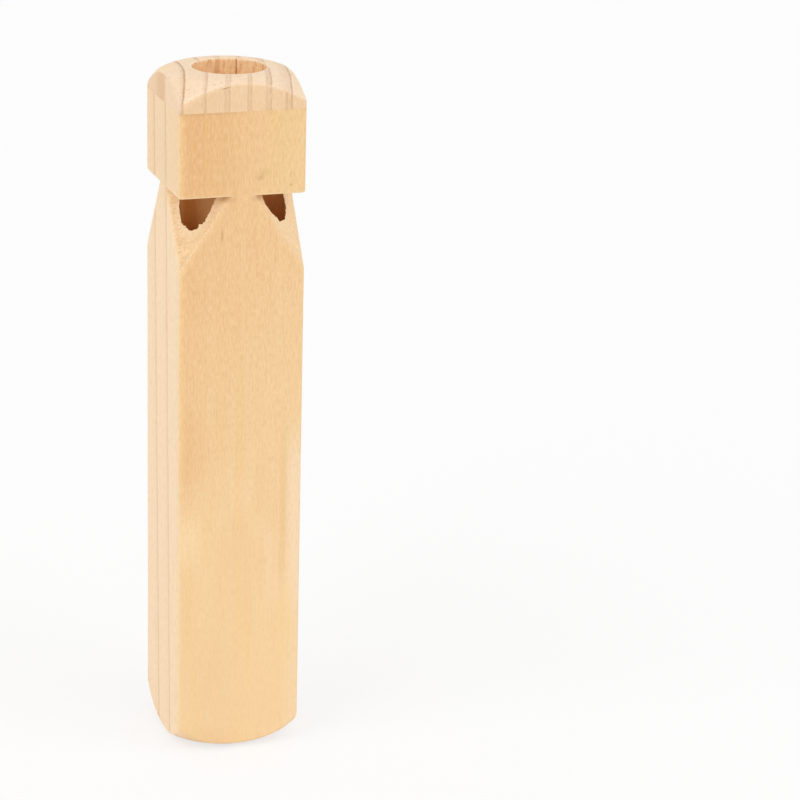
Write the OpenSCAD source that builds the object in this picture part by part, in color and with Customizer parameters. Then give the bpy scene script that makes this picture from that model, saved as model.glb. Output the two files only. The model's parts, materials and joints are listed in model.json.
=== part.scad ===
// Wooden train whistle: a square stick with four tuned chambers, blown through one mouth hole.
// Millimetres, +Z up, origin at the centre of the foot, -Y is the front face.

/* [Stick] */
// Width of the square stick across its flats
stick_w = 30; // [26:0.5:36]
// Length of the body from the foot to the glued seam
body_len = 157.6; // [150:0.1:190]
// Rounding of the four long edges
edge_r = 0.8; // [0.5:0.1:3]

/* [Foot] */
// Radius of the flat disc that the whistle stands on
foot_flat_r = 9; // [8:0.1:10]
// How far the foot's dome rises at the corners
foot_rise = 6.6; // [3:0.1:8]

/* [Mouthpiece cap] */
// Thickness of the cap at the mouth hole
cap_t = 7.4; // [6.5:0.1:12]
// Diameter of the mouth hole
mouth_d = 17; // [13:0.5:18]
// Rounding of the mouth hole's rim
mouth_rim_r = 0.4; // [0.2:0.1:1]
// How far the mouth hole is drilled to the right of the axis
mouth_x = 0.6; // [-1:0.1:1]
// How far the mouth hole is drilled behind the axis
mouth_y = -0.5; // [-1:0.1:1]
// Width of the flat ring around the rim
crown_land = 0.6; // [0.1:0.1:1]
// Radius of the bend from the crown's flat into its slope
crown_bend_r = 10.6; // [4:0.1:14]
// Slope of the dome at the corners, in degrees
crown_slope = 37; // [20:1:40]

/* [Notches] */
// Height of the head's share of the body, from the notch shelf to the seam
head_len = 19.7; // [18:0.1:30]
// Distance from the axis to the back of a notch at its shelf
notch_floor = 12.5; // [11.5:0.1:13.5]
// Height over which a notch runs out to the corner
notch_h = 17.7; // [12:0.1:26]

/* [Chambers] */
// Diameter of a chamber
chamber_d = 10.5; // [9:0.1:11]
// Distance of a chamber's axis from the two centre planes of the stick
chamber_off = 7.9; // [7.5:0.1:8.2]
// Length of the front left chamber below the shelf, the lowest note
note_front_left = 120; // [60:1:125]
// Length of the front right chamber below the shelf
note_front_right = 100; // [60:1:125]
// Length of the back right chamber below the shelf
note_back_right = 88; // [60:1:125]
// Length of the back left chamber below the shelf, the highest note
note_back_left = 73; // [60:1:125]

/* [Fipple plugs] */
// Length of a plug, which leaves an air gallery between it and the cap
plug_len = 14; // [8:0.5:16]
// Height of the windway that the flat on a plug leaves
windway_h = 1.3; // [0.6:0.1:2.5]

/* [Hidden] */
$fn = 96;

// Extra length of a cutter past the face that it opens
cut = 1;
// Corners in the order front left, front right, back right, back left
corner_angles = [225, 315, 45, 135];
note_lens = [note_front_left, note_front_right, note_back_right, note_back_left];
pine = [0.95, 0.81, 0.61];
cap_pine = [0.93, 0.79, 0.63];
dowel_pine = [0.86, 0.68, 0.47];

// Distance from the axis to the rounded long edges
corner_r = stick_w / sqrt(2) - edge_r * (sqrt(2) - 1);
shelf_z = body_len - head_len;
mouth_r = mouth_d / 2;
chamber_r = chamber_d / 2;
chamber_diag = chamber_off * sqrt(2);
crown_flat_r = norm([mouth_x, mouth_y]) + mouth_r + mouth_rim_r + crown_land;
foot_arc_r = arc_radius(corner_r - foot_flat_r, foot_rise);

// Radius of the arc that leaves a flat and has dropped by drop after run
function arc_radius(run, drop) = (run * run + drop * drop) / (2 * drop);

module at_corner(i) {
  rotate([0, 0, corner_angles[i]])
    children();
}

module stick_section() {
  inner_w = stick_w - 2 * edge_r;
  square([stick_w, inner_w], center = true);
  square([inner_w, stick_w], center = true);
  for (x = [-1, 1], y = [-1, 1])
    translate([x * inner_w / 2, y * inner_w / 2])
      circle(r = edge_r);
}

// Half section of the stick's turned foot, up to past the seam
module foot_profile() {
  reach = foot_flat_r + foot_arc_r;
  square([foot_flat_r, body_len + cut]);
  translate([0, foot_arc_r])
    square([reach, body_len + cut - foot_arc_r]);
  intersection() {
    translate([foot_flat_r, foot_arc_r])
      circle(r = foot_arc_r);
    square([reach, foot_arc_r]);
  }
}

// Half section of the cap's dome, from below the seam, without the mouth hole
module crown_profile() {
  reach = corner_r + cut;
  bend_x = crown_flat_r + crown_bend_r * sin(crown_slope);
  bend_y = cap_t - crown_bend_r * (1 - cos(crown_slope));
  translate([0, -cut])
    square([crown_flat_r, cap_t + cut]);
  intersection() {
    translate([crown_flat_r, cap_t - crown_bend_r])
      circle(r = crown_bend_r);
    translate([0, -cut])
      square([bend_x, cap_t + cut]);
  }
  polygon([
    [crown_flat_r, -cut],
    [reach, -cut],
    [reach, bend_y - (reach - bend_x) * tan(crown_slope)],
    [bend_x, bend_y]
  ]);
}

// Half section of the mouth hole with its rounded rim
module mouth_profile() {
  translate([0, -2 * cut])
    square([mouth_r, cap_t + 3 * cut]);
  difference() {
    translate([mouth_r - mouth_rim_r, cap_t - mouth_rim_r])
      square([2 * mouth_rim_r, mouth_rim_r + cut]);
    translate([mouth_r + mouth_rim_r, cap_t - mouth_rim_r])
      circle(r = mouth_rim_r);
  }
}

module chamber(i) {
  at_corner(i)
    translate([chamber_diag, 0, shelf_z - note_lens[i]])
      cylinder(r = chamber_r, h = note_lens[i] + head_len + cut);
}

// Wedge that leaves a level shelf at the top and a slope down to the corner
module notch(i) {
  reach = stick_w;
  slope = notch_h / (corner_r - notch_floor);
  at_corner(i)
    rotate([90, 0, 0])
      translate([0, 0, -stick_w])
        linear_extrude(2 * stick_w)
          polygon([
            [notch_floor, shelf_z],
            [reach, shelf_z],
            [reach, shelf_z - slope * (reach - notch_floor)]
          ]);
}

module body() {
  color(pine)
    difference() {
      intersection() {
        translate([0, 0, -cut])
          linear_extrude(body_len + cut)
            stick_section();
        rotate_extrude()
          foot_profile();
      }
      for (i = [0:3]) {
        chamber(i);
        notch(i);
      }
    }
}

module mouthpiece_cap() {
  color(cap_pine)
    translate([0, 0, body_len])
      intersection() {
        linear_extrude(cap_t + cut)
          stick_section();
        difference() {
          rotate_extrude()
            crown_profile();
          translate([mouth_x, mouth_y, 0])
            rotate_extrude()
              mouth_profile();
        }
      }
}

// Dowel plug with its lower end level with the shelf and its flat towards the corner
module fipple(i) {
  color(dowel_pine)
    at_corner(i)
      translate([chamber_diag, 0, shelf_z])
        difference() {
          cylinder(r = chamber_r, h = plug_len);
          translate([chamber_r - windway_h, -chamber_r, -cut])
            cube([chamber_r, chamber_d, plug_len + 2 * cut]);
        }
}

body();
mouthpiece_cap();
fipple(0);  // fipple_front_left
fipple(1);  // fipple_front_right
fipple(2);  // fipple_back_right
fipple(3);  // fipple_back_left
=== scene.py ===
"""Wooden train whistle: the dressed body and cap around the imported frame, with camera, stage and light.

Shapes are worked out in millimetres as distance fields and turned into meshes in metres.
"""
import json
import math

import bpy
import numpy as np
from mathutils import Matrix, Vector


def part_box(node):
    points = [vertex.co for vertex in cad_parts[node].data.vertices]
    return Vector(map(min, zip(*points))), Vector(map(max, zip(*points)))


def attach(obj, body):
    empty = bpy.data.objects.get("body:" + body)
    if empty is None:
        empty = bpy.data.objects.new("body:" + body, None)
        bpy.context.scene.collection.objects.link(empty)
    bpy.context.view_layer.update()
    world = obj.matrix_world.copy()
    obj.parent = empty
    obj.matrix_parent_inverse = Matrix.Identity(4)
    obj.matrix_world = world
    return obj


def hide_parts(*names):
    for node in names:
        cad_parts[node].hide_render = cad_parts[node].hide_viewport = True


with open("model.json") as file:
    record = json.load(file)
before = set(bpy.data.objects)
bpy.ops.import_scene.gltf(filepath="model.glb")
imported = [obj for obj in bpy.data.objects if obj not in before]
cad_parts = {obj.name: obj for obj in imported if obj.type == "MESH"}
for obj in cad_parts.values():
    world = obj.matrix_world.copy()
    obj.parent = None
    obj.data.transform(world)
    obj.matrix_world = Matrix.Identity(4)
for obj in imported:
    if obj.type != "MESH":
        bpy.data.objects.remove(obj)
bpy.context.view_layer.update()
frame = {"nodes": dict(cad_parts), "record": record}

MM = 0.001


def box_mm(node):
    """Lowest and highest corner of a node, in millimetres."""
    return [np.array(corner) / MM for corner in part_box(node)]


# Sizes that the frame gives, in millimetres
body_high = box_mm("body")[1]
cap_high = box_mm("mouthpiece_cap")[1]
plug_low, plug_high = box_mm("fipple_front_left")
mounts = {mount["name"]: mount for mount in frame["record"]["mounts"]}
mouth = mounts["mouth_hole"]

STICK_HALF = body_high[0]
SEAM_Z = body_high[2]
CROWN_Z = cap_high[2]
SHELF_Z = plug_low[2]
CHAMBER_R = (plug_high[0] - plug_low[0]) / 2
CHAMBER_OFF = -(plug_high[0] + plug_low[0]) / 2
MOUTH_R = mouth["dims"]["r_mm"]
MOUTH_X, MOUTH_Y, _ = (value / MM for value in mouth["pos_m"])

# Sizes of the turned ends, notches and chambers, as on the solids
EDGE_R = 0.8
FOOT_FLAT_R = 9.0
FOOT_RISE = 6.6
RIM_R = 0.4
CROWN_LAND = 0.6
CROWN_BEND_R = 10.6
CROWN_SLOPE = math.radians(37)
NOTCH_FLOOR = 12.5
NOTCH_H = 17.7
NOTE_LENS = (120, 100, 88, 73)
CORNER_R = STICK_HALF * math.sqrt(2) - EDGE_R * (math.sqrt(2) - 1)
NOTCH_FALL = (CORNER_R - NOTCH_FLOOR) / NOTCH_H

# Sanding of the edges that the saw, drill and lathe left sharp
SANDED_TURNING = 0.45
SANDED_CROWN = 0.4
SANDED_NOTCH = 0.38
SANDED_SEAM = 0.02
SANDED_WINDOW = 0.16

# Extra rounding of the dome towards its worn back left corner, and the distance over which it grows
WORN_CROWN = 1.1
WORN_REACH = 18

# Each corner's drill wander below the shelf, and the lip of fibres that is left round its window
CORNERS = (
    {"sign": (-1, -1), "wander": (0.0, 0.0),
     "lip": ((-4.5, 0.45), (-2.3, 0.25), (-1, 0.4), (0.2, 0.2), (1.1, 0.26), (1.75, 0.24),
             (2, 0.58), (3.1, 0.16), (3.7, 0.46), (4.4, 0.55), (4.9, 0.34))},
    {"sign": (1, -1), "wander": (-0.8, -0.25),
     "lip": ((-5.6, -0.35), (-5.1, -0.12), (-4.2, 0.14), (-3.2, 0.26), (-1.8, 0.31), (-0.4, 0.5),
             (0.9, 0.5), (2.3, 0.42), (2.5, 0.8), (2.7, 0.42), (3.3, 0.75))},
    {"sign": (1, 1), "wander": (0.1, -0.2),
     "lip": ((-5, 0.1), (-3.4, 0.3), (-2.6, 0.05), (0.5, 0.3), (1.6, 0), (5, 0.1))},
    {"sign": (-1, 1), "wander": (-0.2, 0.2),
     "lip": ((-5, 0), (-2.5, 0.25), (-0.5, 0.1), (0.9, 0.35), (2.4, 0.1), (5, 0))},
)

# Depth over which a drill wanders off, how deep a lip reaches in, and where it starts below the shelf
WANDER_DEPTH = 3
LIP_REACH = 0.8
LIP_START = 0.5

# Waver of the torn fibres along a lip
TEAR = 0.06
TEAR_STEP = 0.45
TEAR_COUNT = 64
TEAR_SEED = 31


def arc_radius(run, drop):
    """Radius of the arc that leaves a flat and has dropped by drop after run."""
    return (run * run + drop * drop) / (2 * drop)


def round_meet(a, b, radius):
    """Field of what lies in both a and b, with their shared edge rounded."""
    outer = np.hypot(np.maximum(a + radius, 0), np.maximum(b + radius, 0))
    return np.minimum(np.maximum(a, b), -radius) + outer


def stick(x, y):
    """Field of the square stick with rounded long edges."""
    reach_x = np.abs(x) - (STICK_HALF - EDGE_R)
    reach_y = np.abs(y) - (STICK_HALF - EDGE_R)
    outside = np.hypot(np.maximum(reach_x, 0), np.maximum(reach_y, 0))
    return outside + np.minimum(np.maximum(reach_x, reach_y), 0) - EDGE_R


def turned_end(rho, depth, flat_r, drop):
    """Field of an end that is flat out to flat_r and then falls away in an arc."""
    radius = arc_radius(CORNER_R - flat_r, drop)
    return np.hypot(np.maximum(rho - flat_r, 0), np.maximum(radius - depth, 0)) - radius


def crown_end(rho, depth):
    """Field of the cap's top, which bends from a flat round the mouth hole into a straight slope."""
    flat_r = math.hypot(MOUTH_X, MOUTH_Y) + MOUTH_R + RIM_R + CROWN_LAND
    bend = np.hypot(np.maximum(rho - flat_r, 0), np.maximum(CROWN_BEND_R - depth, 0)) - CROWN_BEND_R
    out, up = math.sin(CROWN_SLOPE), math.cos(CROWN_SLOPE)
    slope = (rho - flat_r) * out + (CROWN_BEND_R - depth) * up - CROWN_BEND_R
    past_bend = (rho - flat_r) * up > (CROWN_BEND_R - depth) * out
    return np.where(past_bend, slope, bend)


def smooth_noise(seed, count, step):
    """Function of one length that wanders between -1 and 1, with a new value every step."""
    values = np.random.default_rng(seed).uniform(-1, 1, count)
    places = (np.arange(count) - count / 2) * step
    return lambda s: np.interp(s, places, values)


class Corner:
    """One corner of the stick: its chamber, its notch and the torn rim of its window."""

    def __init__(self, index):
        facts = CORNERS[index]
        self.sign_x, self.sign_y = facts["sign"]
        self.wander_x, self.wander_y = facts["wander"]
        self.lip_sides, self.lip_widths = zip(*facts["lip"])
        self.floor_z = SHELF_Z - NOTE_LENS[index]
        self.tear = smooth_noise(TEAR_SEED + index, TEAR_COUNT, TEAR_STEP)

    def out(self, x, y):
        """Distance from the axis towards this corner."""
        return (self.sign_x * x + self.sign_y * y) / math.sqrt(2)

    def along(self, x, y):
        """Distance to one side of the line from the axis to this corner."""
        return (-self.sign_y * x + self.sign_x * y) / math.sqrt(2)

    def wall(self, x, y, z):
        """Distance outside the chamber's wall, which wanders off its line below the shelf."""
        share = np.clip((SHELF_Z - z) / WANDER_DEPTH, 0, 1)
        from_x = x - self.sign_x * CHAMBER_OFF - share * self.wander_x
        from_y = y - self.sign_y * CHAMBER_OFF - share * self.wander_y
        return np.hypot(from_x, from_y) - CHAMBER_R

    def slope(self, x, y, z):
        """Distance behind the notch's slope, negative in the open notch."""
        return (NOTCH_FLOOR + NOTCH_FALL * (SHELF_Z - z) - self.out(x, y)) / math.hypot(1, NOTCH_FALL)

    def chamber(self, x, y, z):
        """Field of the drilled chamber, narrowed by the lip round its window."""
        side = self.along(x, y)
        lip = np.interp(side, self.lip_sides, self.lip_widths) + TEAR * self.tear(side)
        near_slope = np.clip(1 - self.slope(x, y, z) / LIP_REACH, 0, 1)
        below_shelf = np.clip((SHELF_Z - z) / LIP_START, 0, 1)
        return np.maximum(self.wall(x, y, z) + lip * near_slope * below_shelf, self.floor_z - z)

    def notch(self, x, y, z):
        """Field of the sawn notch under its shelf."""
        return np.maximum(self.slope(x, y, z), z - SHELF_Z)


corners = [Corner(index) for index in range(4)]


def body_field(x, y, z):
    solid = round_meet(stick(x, y), turned_end(np.hypot(x, y), z, FOOT_FLAT_R, FOOT_RISE), SANDED_TURNING)
    solid = round_meet(solid, z - SEAM_Z, SANDED_SEAM)
    for corner in corners:
        solid = round_meet(solid, -corner.notch(x, y, z), SANDED_NOTCH)
    for corner in corners:
        solid = round_meet(solid, -corner.chamber(x, y, z), SANDED_WINDOW)
    return solid


def cap_field(x, y, z):
    towards_worn = (0.3 * y - x) / WORN_REACH
    sanded = SANDED_CROWN + WORN_CROWN * np.clip(towards_worn, 0, 1)
    solid = round_meet(stick(x, y), crown_end(np.hypot(x, y), CROWN_Z - z), sanded)
    solid = round_meet(solid, SEAM_Z - z, SANDED_SEAM)
    return round_meet(solid, MOUTH_R - np.hypot(x - MOUTH_X, y - MOUTH_Y), RIM_R)


def grid_lines(*bands):
    """Grid lines from bands of (start, stop, step), the last stop included."""
    pieces = []
    for start, stop, step in bands:
        count = max(1, round((stop - start) / step))
        pieces.append(np.linspace(start, stop, count, endpoint=False))
    return np.append(np.concatenate(pieces), bands[-1][1])


def both_sides(*bands):
    """Grid lines from bands that start at the middle, and the same lines mirrored."""
    half = grid_lines(*bands)
    return np.concatenate([-half[:0:-1], half])


def gradient(field, points, step=0.01):
    x, y, z = points.T
    return np.stack([
        field(x + step, y, z) - field(x - step, y, z),
        field(x, y + step, z) - field(x, y - step, z),
        field(x, y, z + step) - field(x, y, z - step),
    ], axis=1) / (2 * step)


def settle(field, points, reach, rounds=4):
    """Moves points onto the field's surface, by no more than reach in each round."""
    for _ in range(rounds):
        slope = gradient(field, points)
        length = np.maximum((slope ** 2).sum(axis=1), 0.25)
        move = field(*points.T) / length
        points = points - np.clip(move, -reach, reach)[:, None] * slope
    return points


def outer_sheets():
    """For each pattern of inside corners of a grid cell, the sheet that each outside corner lies behind."""
    table = np.zeros((256, 8), dtype=int)
    for pattern in range(256):
        sheet = {corner: corner for corner in range(8) if not pattern >> corner & 1}
        for _ in range(7):
            for corner in sheet:
                near = (corner, corner ^ 1, corner ^ 2, corner ^ 4)
                sheet[corner] = min(sheet[other] for other in near if other in sheet)
        for corner, lowest in sheet.items():
            table[pattern, corner] = lowest
    return table


def skin(field, lines_x, lines_y, lines_z):
    """Quads over the field's zero surface, one point for each sheet of it in each grid cell."""
    lines = (lines_x, lines_y, lines_z)
    values = field(*np.meshgrid(*lines, indexing="ij"))
    inside = values < 0
    cells = tuple(len(line) - 1 for line in lines)
    pattern = np.zeros(cells, dtype=int)
    for corner in range(8):
        steps = [corner >> axis & 1 for axis in range(3)]
        part = tuple(slice(step, count + step) for step, count in zip(steps, cells))
        pattern += inside[part].astype(int) << corner
    sheets = outer_sheets()
    places, keys = [], []
    for axis in range(3):
        low = [slice(None)] * 3
        high = [slice(None)] * 3
        low[axis] = slice(None, -1)
        high[axis] = slice(1, None)
        crossed = inside[tuple(low)] != inside[tuple(high)]
        where = np.argwhere(crossed)
        start = values[tuple(low)][crossed]
        stop = values[tuple(high)][crossed]
        share = start / (start - stop)
        place = np.stack([lines[k][where[:, k]] for k in range(3)], axis=1)
        place[:, axis] += share * (lines[axis][where[:, axis] + 1] - place[:, axis])
        first, second = (axis + 1) % 3, (axis + 2) % 3
        leaves = start < 0
        around = []
        for da, db in ((0, 0), (-1, 0), (-1, -1), (0, -1)):
            cell = where.copy()
            cell[:, first] += da
            cell[:, second] += db
            outer = (leaves.astype(int) << axis) + (-da << first) + (-db << second)
            number = np.ravel_multi_index(tuple(cell.T), cells)
            around.append(number * 8 + sheets[pattern[tuple(cell.T)], outer])
        around = np.stack(around, axis=1)
        keys.append(np.where(leaves[:, None], around, around[:, ::-1]))
        places.append(place)
    keys = np.concatenate(keys)
    _, numbers = np.unique(keys, return_inverse=True)
    numbers = numbers.ravel()
    places = np.repeat(np.concatenate(places), 4, axis=0)
    points = np.stack([np.bincount(numbers, places[:, k]) for k in range(3)], axis=1)
    points /= np.bincount(numbers)[:, None]
    return points, numbers.reshape(keys.shape)


def relax(points, quads, share):
    """Moves each point part of the way to the middle of its neighbours."""
    total = np.zeros_like(points)
    count = np.zeros(len(points))
    for a, b in ((0, 1), (1, 2), (2, 3), (3, 0)):
        for here, there in ((a, b), (b, a)):
            np.add.at(total, quads[:, here], points[quads[:, there]])
            np.add.at(count, quads[:, here], 1)
    return points + share * (total / count[:, None] - points)


def normals_of(mesh, field, points):
    """The field's normals, or the mesh's own at thin lips where the two disagree."""
    exact = gradient(field, points)
    exact /= np.maximum(np.linalg.norm(exact, axis=1), 1e-6)[:, None]
    own = np.empty(exact.size)
    mesh.vertex_normals.foreach_get("vector", own)
    own = own.reshape(exact.shape)
    agree = (exact * own).sum(axis=1) > 0.5
    return np.where(agree[:, None], exact, own)


def dress(name, node, field, lines, marks):
    """Mesh of a field that stands for a node, with its marks as point attributes."""
    points, quads = skin(field, *lines)
    points = settle(field, points, reach=0.3)
    for _ in range(2):
        points = settle(field, relax(points, quads, share=0.4), reach=0.2)
    mesh = bpy.data.meshes.new(name)
    mesh.from_pydata((points * MM).tolist(), [], quads.tolist())
    mesh.polygons.foreach_set("use_smooth", np.ones(len(quads), dtype=bool))
    mesh.normals_split_custom_set_from_vertices(normals_of(mesh, field, points).tolist())
    for mark, measure in marks.items():
        attribute = mesh.attributes.new(mark, "FLOAT", "POINT")
        attribute.data.foreach_set("value", measure(points).astype(np.float32))
    piece = bpy.data.objects.new(name, mesh)
    bpy.context.scene.collection.objects.link(piece)
    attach(piece, "root")
    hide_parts(node)
    return piece


# Widths over which the marks on the wood fade, and how much of a cut still shows on the face beside it
BORE_FADE = 0.2
CUT_FADE = 0.9
FACE_FADE = 1.6
FACE_SHARE = 0.3
RIM_FADE = 1.8
DOME_FADE = 0.5


def bend_of(field):
    """Measure of how sharply the surface bends outwards, 1 on a sanded edge."""
    def measure(points, step=0.3):
        x, y, z = points.T
        around = field(x + step, y, z) + field(x - step, y, z) + field(x, y + step, z)
        around = around + field(x, y - step, z) + field(x, y, z + step) + field(x, y, z - step)
        return np.clip((around - 6 * field(x, y, z)) / step, 0, 1)
    return measure


def in_chamber(points):
    """1 on the chamber walls, 0 outside."""
    depth = np.min([corner.chamber(*points.T) for corner in corners], axis=0)
    return np.clip(1 - depth / BORE_FADE, 0, 1)


def on_cut(points):
    """1 on the sawn slopes and shelves of the notches, 0 on the planed faces."""
    x, y, z = points.T
    depth = np.min([corner.notch(x, y, z) for corner in corners], axis=0)
    return np.clip(1 - depth / CUT_FADE, 0, 1) * np.clip(FACE_SHARE - stick(x, y) / FACE_FADE, 0, 1)


def on_rim(points):
    """1 on the torn rims of the windows, fading down the slope."""
    gap = np.min([np.abs(corner.wall(*points.T)) for corner in corners], axis=0)
    return np.clip(1 - gap / RIM_FADE, 0, 1) * on_cut(points)


def on_dome(points):
    """1 on the turned dome of the cap, 0 on its planed faces."""
    x, y, z = points.T
    gap = crown_end(np.hypot(x, y), CROWN_Z - z) - stick(x, y)
    return np.clip(0.5 + gap / DOME_FADE, 0, 1)


class Val:
    """A socket of a finish that takes part in Python arithmetic."""

    def __init__(self, finish, socket):
        self.finish = finish
        self.socket = socket

    def math(self, operation, *values):
        return self.finish.node("ShaderNodeMath", {"operation": operation}, dict(enumerate(values)))

    def __add__(self, other):
        return self.math("ADD", self, other)

    def __sub__(self, other):
        return self.math("SUBTRACT", self, other)

    def __rsub__(self, other):
        return self.math("SUBTRACT", other, self)

    def __mul__(self, other):
        return self.math("MULTIPLY", self, other)

    __radd__ = __add__
    __rmul__ = __mul__

    def __abs__(self):
        return self.math("ABSOLUTE", self)

    def __pow__(self, power):
        return self.math("POWER", self, power)


class Finish:
    """The nodes of a material or of the surroundings, put together from expressions."""

    def __init__(self, owner):
        self.owner = owner
        owner.use_nodes = True
        self.tree = owner.node_tree

    def node(self, kind, settings=None, inputs=None, output=0):
        made = self.tree.nodes.new(kind)
        for key, value in (settings or {}).items():
            if key == "stops":
                self.set_stops(made.color_ramp, value)
            else:
                setattr(made, key, value)
        for key, value in (inputs or {}).items():
            self.feed(made.inputs[key], value)
        return Val(self, made.outputs[output])

    def set_stops(self, ramp, stops):
        while len(ramp.elements) < len(stops):
            ramp.elements.new(0.5)
        for element, (place, level) in zip(ramp.elements, sorted(stops)):
            element.position = place
            element.color = (level, level, level, 1)

    def feed(self, socket, value):
        if isinstance(value, Val):
            self.tree.links.new(value.socket, socket)
        else:
            socket.default_value = value

    def place(self):
        """The three coordinates of the shaded point, in millimetres."""
        point = self.node("ShaderNodeTexCoord", output="Object")
        parts = [self.node("ShaderNodeSeparateXYZ", None, {"Vector": point}, axis) for axis in "XYZ"]
        return [part * (1 / MM) for part in parts]

    def facing(self, axis):
        """The part of the surface normal along an axis."""
        normal = self.node("ShaderNodeNewGeometry", output="Normal")
        return self.node("ShaderNodeSeparateXYZ", None, {"Vector": normal}, axis)

    def mark(self, name):
        return self.node("ShaderNodeAttribute", {"attribute_name": name}, output="Fac")

    def noise(self, x, y, z, detail=2.0, roughness=0.5):
        """Noise from 0 to 1 that wanders once per unit of x, y and z."""
        vector = self.node("ShaderNodeCombineXYZ", None, {"X": x, "Y": y, "Z": z})
        inputs = {"Vector": vector, "Scale": 1.0, "Detail": detail, "Roughness": roughness}
        return self.node("ShaderNodeTexNoise", None, inputs)

    def ease(self, value, low, high):
        """0 at low and before it, 1 at high and past it, smooth between."""
        inputs = {"Value": value, "From Min": low, "From Max": high}
        return self.node("ShaderNodeMapRange", {"interpolation_type": "SMOOTHSTEP"}, inputs)

    def spot(self, across, up, half_w, half_h):
        """1 in the middle of an oval spot, 0 outside it."""
        reach = ((across * (1 / half_w)) ** 2 + (up * (1 / half_h)) ** 2) ** 0.5
        return 1 - self.ease(reach, 0.15, 1)

    def mix(self, share, first, second):
        return self.node("ShaderNodeMix", {"data_type": "RGBA"}, {0: share, 6: first, 7: second}, 2)

    def layers(self, colour, *tints):
        """The colour under tints of (share, colour), each laid over those before it."""
        for share, tint in tints:
            colour = self.mix(share, colour, tint)
        return colour

    def bump(self, height, depth_mm):
        inputs = {"Height": height, "Strength": 1.0, "Distance": depth_mm * MM}
        return self.node("ShaderNodeBump", None, inputs)

    def finish(self, **sockets):
        shader = self.tree.nodes["Principled BSDF"]
        for name, value in sockets.items():
            self.feed(shader.inputs[name.replace("_", " ")], value)
        return self.owner


def new_finish(name):
    return Finish(bpy.data.materials.new(name))


def srgb(red, green, blue):
    """Linear colour from 8-bit display values."""
    def linear(level):
        level /= 255
        return level / 12.92 if level <= 0.04045 else ((level + 0.055) / 1.055) ** 2.4
    return (linear(red), linear(green), linear(blue), 1)


# Gloss of bare, unvarnished wood
WOOD_GLOSS = 0.25


def ring_bands(finish, across, rings, reach):
    """Darkness of the late wood over a width of reach to both sides of the axis.

    Each ring is its outer edge and its (depth, darkness) points inside that edge, in millimetres.
    """
    soft_edge = (-0.1, 0)
    stops = []
    for edge, points in rings:
        for depth, dark in (soft_edge, *points):
            stops.append(((edge - depth + reach) / (2 * reach), dark))
    return finish.node("ShaderNodeValToRGB", {"stops": stops}, {"Fac": across * (0.5 / reach) + 0.5})


def side_grain(pine, y, late, head):
    """Edge grain of the side faces: lines of late wood on pale pine, warmer towards the front."""
    towards_front = pine.ease(y, -4, -14) * head * 0.5 + pine.ease(y, -12.6, -14.4) * 0.4
    return pine.layers(
        pine.mix(head, srgb(249, 221, 185), srgb(245, 214, 174)),
        (late * (head * 0.1 + 0.38), srgb(206, 160, 112)),
        (towards_front, srgb(245, 211, 164)),
    )


def front_grain(pine, x, z, stripe, cloud, head):
    """Flat grain of the front and back faces: warm towards the head, with soft patches lower down."""
    upper = pine.ease(z, 55, 80)
    warm = z * 0.0052 - 0.16 - x * (upper * 0.013 + head * 0.026)
    warm = warm + (stripe - 0.5) * 0.5 + (cloud - 0.5) * 0.4
    warm = warm + pine.spot(x + 11, z - 114, 9, 10) * 0.12 + pine.spot(x + 12, z - 77, 6, 14) * 0.25
    pale_strip = pine.ease(x, 10.2, 13.2) * pine.ease(z, 86, 70) * (0.5 + 0.5 * pine.ease(z, 28, 46))
    pale_patch = pine.spot(x + 12.5, z - 55, 5, 10)
    vein = (1 - pine.ease(abs(x - 10.5), 0.3, 1.1)) * pine.ease(z, 30, 48) * pine.ease(z, 90, 70)
    yellow_patch = pine.spot(x - 11.5, z - 33, 3, 18)
    golden_head = pine.ease(x, 3, 9) * head
    heel = pine.ease(x, 2, -6) * pine.ease(z, 9, 2)
    above_heel = pine.spot(x + 6, z - 12, 10, 36)
    left_border = pine.ease(x, -12.8, -14.4) * pine.ease(z, 60, 85)
    return pine.layers(
        pine.mix(warm, srgb(243, 208, 158), srgb(231, 182, 127)),
        (pine.ease(stripe, 0.52, 0.75) * 0.35, srgb(243, 207, 144)),
        (pine.ease(cloud, 0.52, 0.3) * (1 - upper) * 0.6, srgb(246, 212, 171)),
        (pale_strip * 0.9, srgb(246, 217, 181)),
        (pale_patch * 0.6, srgb(250, 218, 172)),
        (vein * 0.24, srgb(226, 184, 126)),
        (yellow_patch * 0.45, srgb(244, 209, 146)),
        (golden_head * 0.4, srgb(236, 197, 136)),
        (heel * 0.5, srgb(234, 194, 141)),
        (above_heel * 0.4, srgb(236, 199, 148)),
        (left_border * 0.6, srgb(244, 202, 142)),
    )


def sawn_wood(pine, x, rim, fine, saw_mark):
    """Sawn slopes of the notches: rough bands, paler on the right as painted light, and paler round the
    torn windows.
    """
    torn = pine.ease(rim + (fine - 0.5) * 0.5, 0.3, 1.1)
    return pine.layers(
        pine.mix(pine.ease(saw_mark, 0.35, 0.7), srgb(245, 208, 161), srgb(226, 182, 130)),
        # Painted light on the right-hand slopes, which face away from the key light
        (pine.ease(x, 2, 9) * 0.7, srgb(252, 219, 175)),
        (torn * 0.55, srgb(248, 218, 184)),
    )


def chamber_walls(pine, x, streak):
    """Drilled walls of the chambers, those on the left lighter towards both sides of the window as painted
    light.
    """
    # Painted light on the left chamber walls, towards both sides of the window
    lighter = pine.ease(x, -8.8, -5) + pine.ease(x, -10.3, -11.4) * 0.5
    right_walls = pine.mix(streak, srgb(244, 180, 110), srgb(216, 145, 82))
    left_walls = pine.layers(
        pine.mix(streak, srgb(246, 184, 106), srgb(220, 146, 80)),
        (lighter, pine.mix(streak, srgb(255, 214, 150), srgb(255, 192, 124))),
    )
    return pine.mix(pine.ease(x, 4, -4), right_walls, left_walls)


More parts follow.
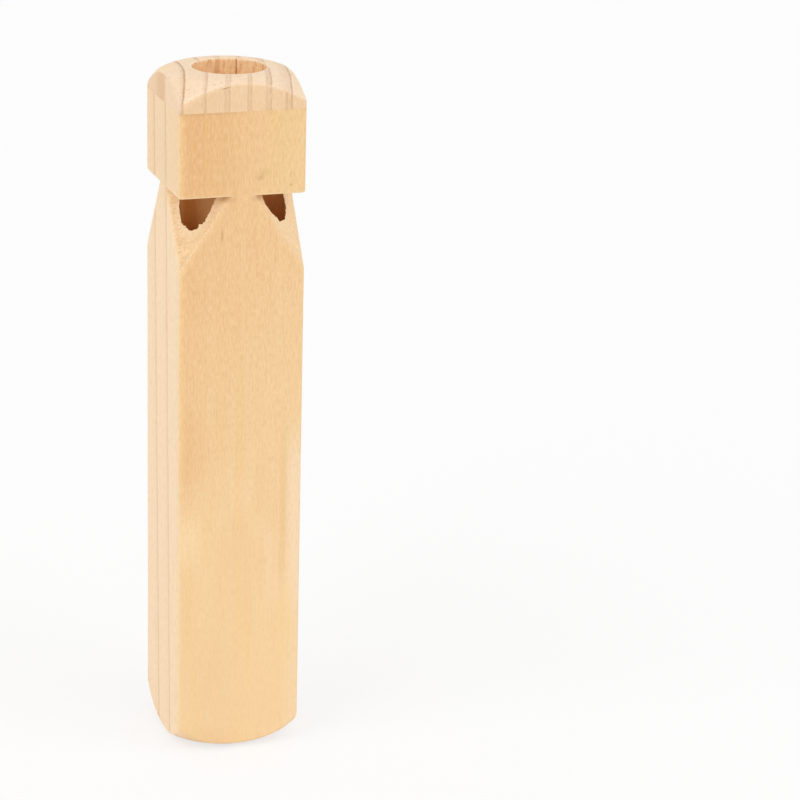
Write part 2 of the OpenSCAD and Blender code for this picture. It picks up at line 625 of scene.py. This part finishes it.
def front_marks(pine, x, z, fine):
    """Shares of a small knot and of dark flecks on the front face."""
    knot_x, knot_z = x - 4.5, z - 142.7
    knot = pine.spot(knot_x * 0.85 + knot_z * 0.53, knot_z * 0.85 - knot_x * 0.53, 3.2, 1.6)
    knot = knot * 0.2 + pine.spot(x - 4.1, z - 141.9, 1.2, 0.8) * 0.2
    flecks = pine.spot(x + 4.85, z - 129, 0.42, 2.7) * 0.4 + pine.spot(x + 1.9, z - 138.4, 0.35, 2.2) * 0.2
    flecks = flecks + pine.spot(x - 11.4, z - 142.6, 0.25, 3.2) * pine.ease(fine, 0.48, 0.6) * 0.4
    flecks = flecks + pine.spot(x - 11.4, z - 140, 0.45, 0.45) * 0.45
    return knot, flecks


def pine_for_body():
    """Plain honey pine: edge grain on the side faces, flat grain on the front and back."""
    pine = new_finish("body_pine")
    x, y, z = pine.place()
    bore, rim, edge = (pine.mark(name) for name in ("bore", "rim", "edge"))
    fine = pine.noise(x * 2.4, y * 2.4, z * 0.55, 3.0, 0.7)
    streak = pine.noise(x * 1.6, y * 1.6, z * 0.1, 3.0, 0.6)
    stripe = pine.noise(x * 0.45, y * 0.45, z * 0.02, 2.0)
    cloud = pine.noise(x * 0.1, y * 0.1, z * 0.04, 2.0)
    saw_mark = pine.noise((abs(x) - abs(y)) * 0.5 + z * 1.9, abs(x) * 0.35, z * 0.35, 3.0, 0.7)
    cut = pine.ease(pine.mark("cut") + (fine - 0.5) * 0.5, 0.35, 0.9)
    flat_grain = pine.ease(abs(pine.facing("Y")), 0.45, 0.92)
    end_grain = pine.ease(abs(pine.facing("Z")), 0.55, 0.95) * (1 - cut)
    head = pine.ease(z, SHELF_Z - 8, SHELF_Z + 4)

    across = (z - SHELF_Z) * 0.029 - y + (cloud - 0.5) * 0.4 + (streak - 0.5) * 0.5
    band = ((0.15, 1.0), (0.8, 0.9), (1.2, 0.35), (2.2, 0.12), (5, 0))
    late = ring_bands(pine, across, [(ring, band) for ring in (-17.6, -6.7, 3.75, 16.2)], 25)
    side = side_grain(pine, y, late, head)
    front = front_grain(pine, x, z, stripe, cloud, head)

    fibre = 1.1 - flat_grain * pine.ease(z, 125, 10) * 0.65
    at_seam = pine.ease(z, SEAM_Z - 0.8, SEAM_Z - 0.3)
    # Paler rounded edges: partly sanded wood, partly a painted highlight, which is stronger along the shelf
    # edges
    shelf_edge_highlight = edge * pine.ease(abs(z - SHELF_Z), 0.8, 0.3)
    sanded = edge * 0.25 * (1 - rim) * (1 - at_seam) + shelf_edge_highlight * 0.5
    # Painted shadow: a dark brown spot just under the shelves, at the inner ends of the notches
    below_shelf = pine.spot(abs(x) - 3.7, z - SHELF_Z + 0.5, 2.5, 1.3)
    below_shelf = below_shelf * pine.ease(z, SHELF_Z + 0.1, SHELF_Z - 0.3)
    on_front = pine.ease(y, -14.0, -14.6)
    knot, flecks = front_marks(pine, x, z, fine)
    colour = pine.layers(
        pine.mix(flat_grain, side, front),
        (cut * 0.85, sawn_wood(pine, x, rim, fine, saw_mark)),
        (end_grain * 0.6, srgb(230, 184, 132)),
        (pine.ease(streak, 0.52, 0.78) * (1 - cut) * fibre * 0.24, srgb(214, 164, 108)),
        (pine.ease(fine, 0.45, 0.75) * fibre * 0.32, srgb(212, 164, 110)),
        (pine.ease(fine, 0.55, 0.25) * fibre * 0.28, srgb(255, 228, 186)),
        # Painted highlight, together with paler sanded wood, along the rounded edges and the shelf edges
        (sanded, srgb(253, 224, 178)),
        (at_seam * flat_grain * pine.ease(x, 2, -6) * 0.2, srgb(196, 144, 92)),
        # Painted shadow under the shelves
        (below_shelf * 0.4, srgb(176, 126, 74)),
        (bore, chamber_walls(pine, x, streak)),
        (knot * on_front, srgb(188, 150, 96)),
        (flecks * on_front, srgb(172, 116, 62)),
    )

    grain = (fine * 0.6 + streak * 0.4) * (1 - cut) + (saw_mark + fine * 0.5) * cut
    normal = pine.bump(grain, 0.1)
    rough = fine * 0.2 + 0.45 + cut * 0.2
    return pine.finish(Base_Color=colour, Roughness=rough, Specular_IOR_Level=WOOD_GLOSS, Normal=normal)


def cap_rings(pine, across):
    """Late wood of the cap, where each ring has its own width and darkness."""
    rings = [
        (-10.2, ((0.1, 1.6), (0.3, 1.6), (0.55, 0.45), (1.4, 0))),
        (-5.05, ((0.1, 1.1), (0.5, 0.6), (1.35, 0))),
        (0.25, ((0.12, 0.85), (0.4, 0.4), (1.05, 0.45), (1.2, 0.75), (1.4, 0))),
        (5.05, ((0.12, 0.95), (0.35, 0.5), (0.8, 0.55), (0.95, 0.8), (1.15, 0))),
        (9.6, ((0.15, 1.3), (0.45, 0.6), (1.1, 0.55), (1.25, 1.0), (1.5, 0))),
        (14.25, ((0.1, 1.5), (0.2, 1.5), (0.45, 0.45), (3.2, 0))),
    ]
    return ring_bands(pine, across, rings, 18)


def drilled_wall(pine, x, z, mottle, wobble):
    """Wall of the mouth hole, with a dark band and a crack along its fibres and flecks near the rim."""
    dark_band = 1 - pine.ease(abs(x - 0.1), 0.3, 0.9)
    crack = 1 - pine.ease(abs(x - 4.4 + wobble * 0.5), 0.08, 0.3)
    flecks = pine.ease(mottle, 0.56, 0.66) * pine.ease(z, CROWN_Z - 3.2, CROWN_Z - 0.6)
    return pine.layers(
        # Pale base colours: partly the drilled wood's own, partly painted light in place of the light that
        # falls into the hole
        pine.mix(pine.ease(mottle, 0.3, 0.7), srgb(253, 221, 176), srgb(240, 194, 145)),
        (dark_band * 0.4, srgb(206, 142, 88)),
        (crack * 0.75, srgb(168, 104, 60)),
        (flecks * 0.45, srgb(176, 112, 66)),
    )


def pine_for_cap():
    """Pale pine with the fibres upright, so that its growth rings cross the dome from front to back."""
    pine = new_finish("cap_pine")
    x, y, z = pine.place()
    dome, edge = pine.mark("dome"), pine.mark("edge")
    from_hole = ((x - MOUTH_X) ** 2 + (y - MOUTH_Y) ** 2) ** 0.5
    inside = pine.ease(from_hole, MOUTH_R + 0.35, MOUTH_R + 0.1)
    front = pine.ease(pine.facing("Y"), -0.5, -0.9) * (1 - dome)
    wobble = pine.noise(x * 0.8, y * 0.8, z * 0.12, 3.0, 0.6) - 0.5
    speckle = pine.noise(x * 2.2, y * 2.2, z * 0.6, 3.0, 0.65)
    mottle = pine.noise(x * 1.1, y * 1.1, z * 0.4, 3.0, 0.65)
    patchy = pine.noise(x * 0.3, y * 0.3, z * 0.25, 2.0)
    cloud = pine.noise(x * 0.12, y * 0.12, z * 0.12, 2.0)
    pits = pine.ease(pine.noise(x * 1.5, y * 1.5, z * 1.5, 1.0), 0.66, 0.74) * dome

    across = x - y * 0.13 + y ** 2 * (0.0058 - 0.00019 * x) + wobble * 0.45 + (speckle - 0.5) * 0.4
    late = cap_rings(pine, across) * (patchy * 0.9 + 0.55) * (1 - 0.3 * front)
    early_line = (1 - pine.ease(abs(across - 12.95), 0.1, 0.3)) * front
    side_patch = pine.ease(x, -14.3, -14.8) * pine.ease(y, -3.7, -0.9)
    side_patch = side_patch * (1 - dome) * (1 - 0.65 * pine.ease(y, 1.5, 9))
    worn_spot = pine.spot(x + 12.5, y - 3, 4, 8) * dome
    scratch = pine.spot(x + 4.2, z - CROWN_Z + 1.85 - (x + 4.2) * 0.22, 1.7, 0.16)
    scratch = scratch * pine.ease(y, -14.2, -14.6)
    above_seam = pine.ease(z, SEAM_Z + 0.3, SEAM_Z + 0.8)
    # Painted highlight round the mouth hole's rim, and along the cap's rounded edges together with paler
    # sanded wood
    rim_light = pine.ease(from_hole, MOUTH_R + 0.9, MOUTH_R + 0.4) * 0.5
    sanded = (edge * above_seam * 0.2 + rim_light) * (1 - inside)
    colour = pine.layers(
        pine.mix(dome, srgb(242, 212, 178), srgb(248, 221, 190)),
        # Painted shade on the cap's front faces, darker than the dome
        (front, srgb(237, 201, 159)),
        (pine.ease(cloud, 0.35, 0.7) * 0.3, srgb(244, 211, 170)),
        (side_patch * 0.85, srgb(226, 184, 140)),
        (worn_spot * 0.35, srgb(250, 220, 168)),
        (late * 0.52, srgb(192, 147, 106)),
        (early_line * 0.35, srgb(190, 146, 112)),
        (pine.ease(speckle, 0.5, 0.8) * 0.32, srgb(206, 160, 124)),
        (pine.ease(speckle, 0.48, 0.22) * 0.45, srgb(255, 238, 214)),
        (pits * 0.28, srgb(196, 148, 108)),
        (inside, drilled_wall(pine, x, z, mottle, wobble)),
        (scratch * 0.8, srgb(140, 98, 66)),
        # Painted highlight, with paler sanded wood, on the rounded edges and round the mouth hole's rim
        (sanded, srgb(255, 234, 206)),
    )

    grain = speckle * 0.7 + mottle * inside - pits
    normal = pine.bump(grain, 0.08)
    rough = speckle * 0.2 + 0.45
    return pine.finish(Base_Color=colour, Roughness=rough, Specular_IOR_Level=WOOD_GLOSS, Normal=normal)


def dowel_wood():
    """Turned dowel, a little darker than the body, with its grain along the plug."""
    dowel = new_finish("dowel_wood")
    x, y, z = dowel.place()
    streak = dowel.noise(x * 2.5, y * 2.5, z * 0.1, 3.0, 0.6)
    colour = dowel.mix(streak, srgb(226, 184, 134), srgb(196, 146, 98))
    return dowel.finish(Base_Color=colour, Roughness=streak * 0.2 + 0.5, Normal=dowel.bump(streak, 0.04))


def put_on(piece, material):
    piece.data.materials.clear()
    piece.data.materials.append(material)


def build_whistle():
    """Body and cap as meshes on grids that are fine at edges and windows, and the finish of the plugs."""
    past = 0.1
    crisp = 0.04
    face = (STICK_HALF - past, STICK_HALF + past, crisp)
    seam = (SEAM_Z - past, SEAM_Z + past, crisp)
    foot_z = 9
    notch_z = SHELF_Z - 21
    window_z = SHELF_Z - 9.5
    head_z = SHELF_Z + 2
    near_seam_z = SEAM_Z - 1

    sides = both_sides((0.0, 2.4, 0.8), (2.4, 6.0, 0.5), (6.0, face[0], 0.28), face)
    rows = grid_lines((-0.31, foot_z, 0.5), (foot_z, notch_z, 5.4), (notch_z, window_z, 0.6),
                      (window_z, head_z, 0.26), (head_z, near_seam_z, 2.1),
                      (near_seam_z, seam[0], 0.3), seam)
    marks = {"cut": on_cut, "bore": in_chamber, "rim": on_rim, "edge": bend_of(body_field)}
    body = dress("whistle_body", "body", body_field, (sides, sides, rows), marks)
    put_on(body, pine_for_body())

    sides = both_sides((0.0, 7.0, 0.9), (7.0, 10.0, 0.3), (10.0, 13.2, 0.4), (13.2, face[0], 0.28), face)
    rows = grid_lines(seam, (seam[1], CROWN_Z + 0.3, 0.3))
    marks = {"dome": on_dome, "edge": bend_of(cap_field)}
    cap = dress("whistle_cap", "mouthpiece_cap", cap_field, (sides, sides, rows), marks)
    put_on(cap, pine_for_cap())

    dowel = dowel_wood()
    for name, plug in frame["nodes"].items():
        if name.startswith("fipple"):
            for slot in plug.material_slots:
                slot.material = dowel


def stand_camera():
    """Camera at the photograph's viewing angle, aimed to the right of the whistle."""
    azimuth, elevation = math.radians(-15.7101), math.radians(18.7103)
    yaw, pitch, roll = math.radians(-3.6825), math.radians(-0.1912), math.radians(1.5936)
    target = Vector((0, 0, 0.0825))
    distance = 0.68985

    def backwards(turn, lift):
        return Vector((math.sin(turn) * math.cos(lift), -math.cos(turn) * math.cos(lift), math.sin(lift)))

    turn, lift = azimuth + yaw, elevation + pitch
    back = backwards(turn, lift)
    right = Vector((math.cos(turn), math.sin(turn), 0))
    up = back.cross(right)
    rolled_right = right * math.cos(roll) + up * math.sin(roll)
    rolled_up = up * math.cos(roll) - right * math.sin(roll)
    data = bpy.data.cameras.new("photo_camera")
    data.lens = 130.05
    data.sensor_width = 36
    camera = bpy.data.objects.new("photo_camera", data)
    bpy.context.scene.collection.objects.link(camera)
    turned = Matrix((rolled_right, rolled_up, back)).transposed().to_4x4()
    camera.matrix_world = Matrix.Translation(target + backwards(azimuth, elevation) * distance) @ turned
    bpy.context.scene.camera = camera


def seen_directly(finish):
    """1 where the picture, a gloss or glass shows the surface, 0 where it only lights others."""
    ways = ("Is Camera Ray", "Is Glossy Ray", "Is Transmission Ray")
    first, second, third = (finish.node("ShaderNodeLightPath", output=way) for way in ways)
    return finish.ease(first + second + third, 0, 1)


def lay_floor():
    """Pale paper floor, mostly plain white where it is seen. The rest of its light keeps the shadow."""
    half = 6.0
    plain_white = 0.7
    outline = [(-half, -half, 0), (half, -half, 0), (half, half, 0), (-half, half, 0)]
    mesh = bpy.data.meshes.new("floor")
    mesh.from_pydata(outline, [], [(0, 1, 2, 3)])
    floor = bpy.data.objects.new("floor", mesh)
    bpy.context.scene.collection.objects.link(floor)
    paper = new_finish("floor_paper")
    put_on(floor, paper.finish(Base_Color=(0.95, 0.95, 0.95, 1), Roughness=0.9))
    glow = paper.node("ShaderNodeEmission", None, {"Strength": 1.0})
    lit = Val(paper, paper.tree.nodes["Principled BSDF"].outputs[0])
    share = seen_directly(paper) * plain_white
    shown = paper.node("ShaderNodeMixShader", None, {0: share, 1: lit, 2: glow})
    paper.feed(paper.tree.nodes["Material Output"].inputs["Surface"], shown)


def set_lights():
    """White surroundings and two soft lights, from the left and from the front right."""
    scene = bpy.context.scene
    scene.view_settings.view_transform = "Standard"
    sky_light = 0.72
    scene.world = bpy.data.worlds.new("studio")
    sky = Finish(scene.world)
    background = sky.tree.nodes["Background"]
    sky.feed(background.inputs["Color"], (1, 1, 1, 1))
    sky.feed(background.inputs["Strength"], seen_directly(sky) * (1 - sky_light) + sky_light)

    softness = math.radians(50)
    for name, energy, aim in (("key", 0.8, (0.75, 0.35, -0.6)), ("fill", 0.62, (-0.63, 0.63, -0.5))):
        data = bpy.data.lights.new(name, "SUN")
        data.energy = energy
        data.angle = softness
        light = bpy.data.objects.new(name, data)
        light.rotation_mode = "QUATERNION"
        light.rotation_quaternion = Vector(aim).to_track_quat("-Z", "Y")
        scene.collection.objects.link(light)


build_whistle()
lay_floor()
set_lights()
stand_camera()
